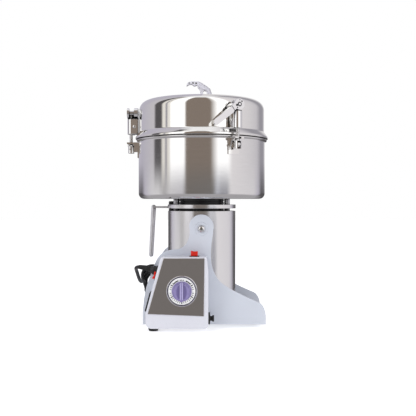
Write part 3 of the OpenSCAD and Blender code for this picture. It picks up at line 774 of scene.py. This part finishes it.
for i in LATCHES:
    place = latch_frame(i)
    rod_place = place @ Matrix.Translation((LATCH_R * MM, 0, 0))
    refined(f"latch_jaw_{i}", CHROME, 1.1 * MM)
    refined(f"cam_lever_{i}", CHROME, 0.9 * MM)
    refined(f"latch_rod_{i}", CHROME, 0.4 * MM)
    latch_knurl(i, rod_place)
    latch_thread(i, rod_place)
    jaw_rivets(i, place)
    cam_shadow_pad(i, place)
    cam_rings_and_hole_shades(i, place)


# ---------------------------------------------------------------- stand

refined("front_side_plate", PAINT, 1.6 * MM)
refined("rear_side_plate", PAINT, 1.6 * MM)
refined("base_plate", PAINT, 0.6 * MM)
refined("tie_rods", TURNED, 0.4 * MM)
refined("rubber_feet", RUBBER_AND_SHADE, 0.9 * MM)
refined("pivot_bolts", SATIN, 1.0 * MM)

# A domed head on the front pivot bolt, with two dark bars painted as the shade in its cross slot
DOME = [(0, -0.6), (5, -0.6), (5, 0.2), (4.2, 1.1), (2.6, 1.7), (0, 1.9)]
SLOT = [(-2.6, -0.5), (2.6, -0.5), (2.6, 0.5), (-2.6, 0.5)]
pivot = JOINTS["motor_tilt"]["pos_m"]
bolt_front = facing(Vector((pivot[0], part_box("pivot_bolts")[0].y, pivot[2])), FRONTWARD)
bm = bmesh.new()
lathe(bm, scaled(DOME), 48, bolt_front)
close_piece(bm, "pivot_bolt_dome", CHROME, "stand")
# Painted shade: two dark bars stand for the shade in the cross slot
bm = bmesh.new()
for turn in (20, 110):
    prism(bm, scaled(SLOT), 1.2 * MM, 2.0 * MM, bolt_front @ Matrix.Rotation(math.radians(turn), 4, "Z"))
close_piece(bm, "pivot_bolt_slot_shade", GREY_INK_AND_SHADE, "stand")


# ---------------------------------------------------------------- control box

refined("control_housing", LIT_BOX_PAINT, 1.8 * MM)
refined("control_panel", PANEL, 0.6 * MM)
refined("rocker_frames", BLACK_AND_SHADE, 0.4 * MM)
refined("power_rocker", RED, 0.7 * MM)
refined("pulse_rocker", RED, 0.7 * MM)
refined("overload_breaker", BLACK_AND_SHADE, 0.6 * MM)
refined("reset_button", BLACK_AND_SHADE, 1.0 * MM)
refined("cord_gland", BLACK_AND_SHADE, 0.5 * MM)
refined("side_cover", BLACK_AND_SHADE, 0.8 * MM)
refined("timer_unit", BLACK_AND_SHADE, 0.6 * MM)
refined("timer_dial", WHITE, 0.3 * MM)

# Dial: a chrome bezel and a dark ring painted as the shade of a groove, round printed marks; heights are
# above the panel
PRINT_LOW, PRINT_HIGH = 0.95, 1.12
SCALE_OUT, BAND_IN, BAND_OUT = 19.8, 16.9, 18.6
on_dial = facing(DIAL, FRONTWARD)
bezel = [(22.9, 0), (25, 0), (25, 1.3)] + arc(24, 1.3, 1, 0, 180, 10) + [(22.9, 1.3)]
bm = bmesh.new()
lathe(bm, scaled(bezel), 128, on_dial)
close_piece(bm, "dial_bezel", CHROME, "stand", ["dial_ring"])
# Painted shade: a dark ring standing for the shade in the groove between dial and bezel
bm = bmesh.new()
lathe(bm, scaled([(21.9, 0.9), (23.0, 0.9), (23.0, 1.4), (21.9, 1.4)]), 128, on_dial)
close_piece(bm, "dial_groove_shade", INK_AND_SHADE, "stand")


def dial_marks(name, material, marks):
    """Printed marks on the dial: bearing in degrees, inner and outer radius and half the width."""
    bm = bmesh.new()
    for bearing, inside, outside, wide in marks:
        turn = on_dial @ Matrix.Rotation(math.radians(bearing), 4, "Z")
        outline = ((-wide, inside), (wide, inside), (wide, outside), (-wide, outside))
        prism(bm, scaled(outline), PRINT_LOW * MM, PRINT_HIGH * MM, turn)
    close_piece(bm, name, material, "stand")


# A graduation every 10 degrees round the sides and the foot but at 90, 180 and 270, five longer
# marks 60 degrees apart, three short ones for the off place at the top, and a dark band on each side of it
scale_bearings = [b for b in range(50, 311, 10) if b not in (90, 180, 270)]
dial_marks("dial_scale", GREY_INK_AND_SHADE, [(b, 17.0, SCALE_OUT, 0.5) for b in scale_bearings])
dial_marks("dial_quarters", INK_AND_SHADE, [(b, 16.6, 20.4, 0.75) for b in range(60, 301, 60)])
dial_marks("dial_off", INK_AND_SHADE, [(b, BAND_IN, 18.5, 0.6) for b in (-8, 0, 8)])
bm = bmesh.new()
for start, end in ((41, 68), (108, 141)):
    band = arc(0, 0, BAND_OUT, start, end, 12) + arc(0, 0, BAND_IN, end, start, 12)
    prism(bm, scaled(band), PRINT_LOW * MM, PRINT_HIGH * MM, on_dial)
close_piece(bm, "dial_bands", INK_AND_SHADE, "stand")

# Timer knob: a skirt, a fluted body and a bar grip with two ridges between two hollows; the ridges take a
# paler lavender as painted highlight, and the hollows are dark sheets as painted shade
KNOB_FLUTES = 36
KNOB = [(3.05, 1.6), (15.6, 1.6), (16, 2.1), (16, 4.2), (15.2, 5), (13.6, 5.4), (13.2, 12.6), (12.2, 14),
        (3.05, 14)]
HOLLOW = [(2.9, -11.2), (6, -9.6), (8, -4), (8, 4), (6, 9.6), (2.9, 11.2)]


def knob_wave(angle, height):
    """The knob's flutes, on its body alone."""
    return 0.3 * MM * math.cos(KNOB_FLUTES * angle) if 5 * MM < height < 13 * MM else 0


bm = bmesh.new()
lathe(bm, scaled(KNOB), 144, on_dial, wave=knob_wave)
close_piece(bm, "knob_body", LAVENDER, "timer_knob", ["timer_knob"])
bm = bmesh.new()
grip = arc(0, 13, 2.8, 0, 180, 10) + arc(0, -13, 2.8, 180, 360, 10)
prism(bm, scaled(grip), 4.6 * MM, 15.6 * MM, on_dial)
close_piece(bm, "knob_grip", LAVENDER, "timer_knob", bevel=0.9 * MM)
bm = bmesh.new()
# Painted highlight: the ridges take the paler lavender
for low_x, high_x in ((-2.7, -1.1), (0.7, 2.3)):
    ridge = ((low_x, -11), (high_x, -12.5), (high_x, 15), (low_x, 14.4))
    prism(bm, scaled(ridge), 15.3 * MM, 16.1 * MM, on_dial)
close_piece(bm, "knob_ridges_lit", LIT_LAVENDER, "timer_knob", bevel=0.3 * MM)
bm = bmesh.new()
# Painted shade: dark sheets where the hollows' shade falls
for side in (-1, 1):
    hollow = [(side * x, y) for x, y in HOLLOW[::side]]
    prism(bm, scaled(hollow), 13.8 * MM, 14.1 * MM, on_dial)
close_piece(bm, "knob_hollow_shades", SHADED_LAVENDER, "timer_knob")


# ---------------------------------------------------------------- studio

FLOOR_HALF = 6
FLOOR_GLOW = 0.40


def stage_plane(name, size, place, material):
    """A flat square for the stage, by half its side."""
    bm = bmesh.new()
    bmesh.ops.create_grid(bm, x_segments=1, y_segments=1, size=size, matrix=place)
    mesh = bpy.data.meshes.new(name)
    bm.to_mesh(mesh)
    bm.free()
    plane = bpy.data.objects.new(name, mesh)
    mesh.materials.append(material)
    scene.collection.objects.link(plane)
    return plane


glow = FLOOR.node_tree.nodes["Principled BSDF"]
glow.inputs["Emission Color"].default_value = (1, 1, 1, 1)
glow.inputs["Emission Strength"].default_value = FLOOR_GLOW
floor = stage_plane("floor", FLOOR_HALF, Matrix.Identity(4), FLOOR)
floor.visible_glossy = False


def studio_light(name, place, target, size, power):
    """A rectangular lamp that polished metal doesn't reflect; metres and watts."""
    light = bpy.data.lights.new(name, "AREA")
    light.shape = "RECTANGLE"
    light.size, light.size_y = size
    light.energy = power
    holder = bpy.data.objects.new(name, light)
    holder.location = place
    holder.rotation_euler = (Vector(target) - Vector(place)).to_track_quat("-Z", "Y").to_euler()
    holder.visible_glossy = False
    scene.collection.objects.link(holder)


studio_light("key", (-1.3, -1.5, 1.7), (0, 0, 0.2), (1.0, 1.0), 11)
studio_light("fill", (1.6, -1.1, 1.1), (0, 0, 0.2), (0.9, 1.2), 5)
studio_light("top", (0, 0.2, 2.2), (0, 0, 0.3), (1.6, 1.6), 6)

# The room that polished metal reflects. Its tones go by direction in degrees from behind (-180)
# round the left (-90), the front (0) and the right (90) back to behind: a white studio with dark
# flags and a taupe wall behind the camera, and darker tones towards the table. The camera sees white.
WHITE_WALL, GREY_WALL, LILAC_WALL = (1.35, 1.35, 1.36), (0.74, 0.72, 0.74), (0.52, 0.50, 0.58)
CREAM_WALL, TAUPE_WALL = (0.88, 0.85, 0.80), (0.245, 0.20, 0.17)
FLAG, DUSK = (0.10, 0.095, 0.10), (0.34, 0.33, 0.37)
TABLE, CEILING, SOFT_LIGHT = (0.42, 0.41, 0.43), (0.95, 0.95, 0.97), (0.74, 0.745, 0.77)
HIGH_ROOM = [
    (-180, LILAC_WALL), (-135, LILAC_WALL), (-96, (0.60, 0.58, 0.62)), (-91, FLAG), (-77, FLAG),
    (-73.5, CREAM_WALL), (-68.5, CREAM_WALL), (-67, DUSK), (-64.5, DUSK), (-63, CREAM_WALL),
    (-59, CREAM_WALL), (-56, WHITE_WALL), (-31, WHITE_WALL), (-27, TAUPE_WALL), (16, TAUPE_WALL),
    (30, WHITE_WALL), (48, WHITE_WALL), (56, (0.84, 0.81, 0.83)), (100, (0.70, 0.68, 0.71)),
    (118, (0.62, 0.60, 0.64)), (134, DUSK), (150, DUSK), (165, GREY_WALL), (180, GREY_WALL),
]
LOW_ROOM = [
    (-180, FLAG), (-136, FLAG), (-124, LILAC_WALL), (-102, (0.72, 0.71, 0.74)), (-84, (0.76, 0.75, 0.77)),
    (-70, (0.46, 0.45, 0.46)), (-58, (0.66, 0.65, 0.67)), (-34, (0.58, 0.57, 0.61)),
    (-26, (0.19, 0.175, 0.165)), (20, (0.19, 0.18, 0.175)), (28, (0.50, 0.51, 0.57)),
    (36, (0.34, 0.34, 0.38)), (46, (0.34, 0.34, 0.38)), (54, (0.80, 0.78, 0.80)),
    (108, (0.74, 0.72, 0.75)), (124, LILAC_WALL), (136, FLAG), (180, FLAG),
]
# The height of a direction is the Z of its unit vector; each band goes from the lower tone to the upper
TABLE_TO_WALL, LOW_TO_HIGH, WALL_TO_CEILING = (-0.5, -0.25), (-0.01, 0.055), (0.94, 0.99)

world = bpy.data.worlds.new("studio")
scene.world = world
world.use_nodes = True
tree = world.node_tree
nodes, links = tree.nodes, tree.links
nodes.clear()


def math_node(operation, first, second=None):
    """A maths node on one or two values."""
    node = nodes.new("ShaderNodeMath")
    node.operation = operation
    for socket, value in zip(node.inputs, (first, second)):
        if isinstance(value, (int, float)):
            socket.default_value = value
        elif value is not None:
            links.new(value, socket)
    return node.outputs[0]


def room_ramp(stops, share):
    """Wall tones by direction; share runs from 0 at the back round the left to 1."""
    ramp = nodes.new("ShaderNodeValToRGB")
    links.new(share, ramp.inputs["Fac"])
    marks = ramp.color_ramp.elements
    for i, (angle, tone) in enumerate(stops):
        at = (angle + 180) / 360
        mark = marks[0] if i == 0 else (marks[-1] if i == len(stops) - 1 else marks.new(at))
        mark.position = at
        mark.color = (*tone, 1)
    return ramp.outputs["Color"]


def world_mix(factor, first, second):
    """The first colour where the factor is 0 and the second where it is 1."""
    mix = nodes.new("ShaderNodeMix")
    mix.data_type = "RGBA"
    links.new(factor, mix.inputs["Factor"])
    for name, value in (("A", first), ("B", second)):
        if isinstance(value, tuple):
            mix.inputs[name].default_value = (*value, 1)
        else:
            links.new(value, mix.inputs[name])
    return mix.outputs["Result"]


def between(value, low, high):
    """0 below low and 1 above high."""
    step = nodes.new("ShaderNodeMapRange")
    step.inputs["From Min"].default_value = low
    step.inputs["From Max"].default_value = high
    links.new(value, step.inputs["Value"])
    return step.outputs[0]


split = nodes.new("ShaderNodeSeparateXYZ")
links.new(nodes.new("ShaderNodeTexCoord").outputs["Generated"], split.inputs[0])
azimuth = math_node("ARCTAN2", split.outputs["X"], math_node("MULTIPLY", split.outputs["Y"], -1))
share = between(azimuth, -math.pi, math.pi)
height = split.outputs["Z"]
walls = world_mix(between(height, *LOW_TO_HIGH), room_ramp(LOW_ROOM, share), room_ramp(HIGH_ROOM, share))
above_table = world_mix(between(height, *TABLE_TO_WALL), TABLE, walls)
room = world_mix(between(height, *WALL_TO_CEILING), above_table, CEILING)

path = nodes.new("ShaderNodeLightPath")
seen = world_mix(path.outputs["Is Glossy Ray"], SOFT_LIGHT, room)
shown = world_mix(path.outputs["Is Camera Ray"], seen, (1, 1, 1))
background = nodes.new("ShaderNodeBackground")
links.new(shown, background.inputs["Color"])
links.new(background.outputs[0], nodes.new("ShaderNodeOutputWorld").inputs["Surface"])
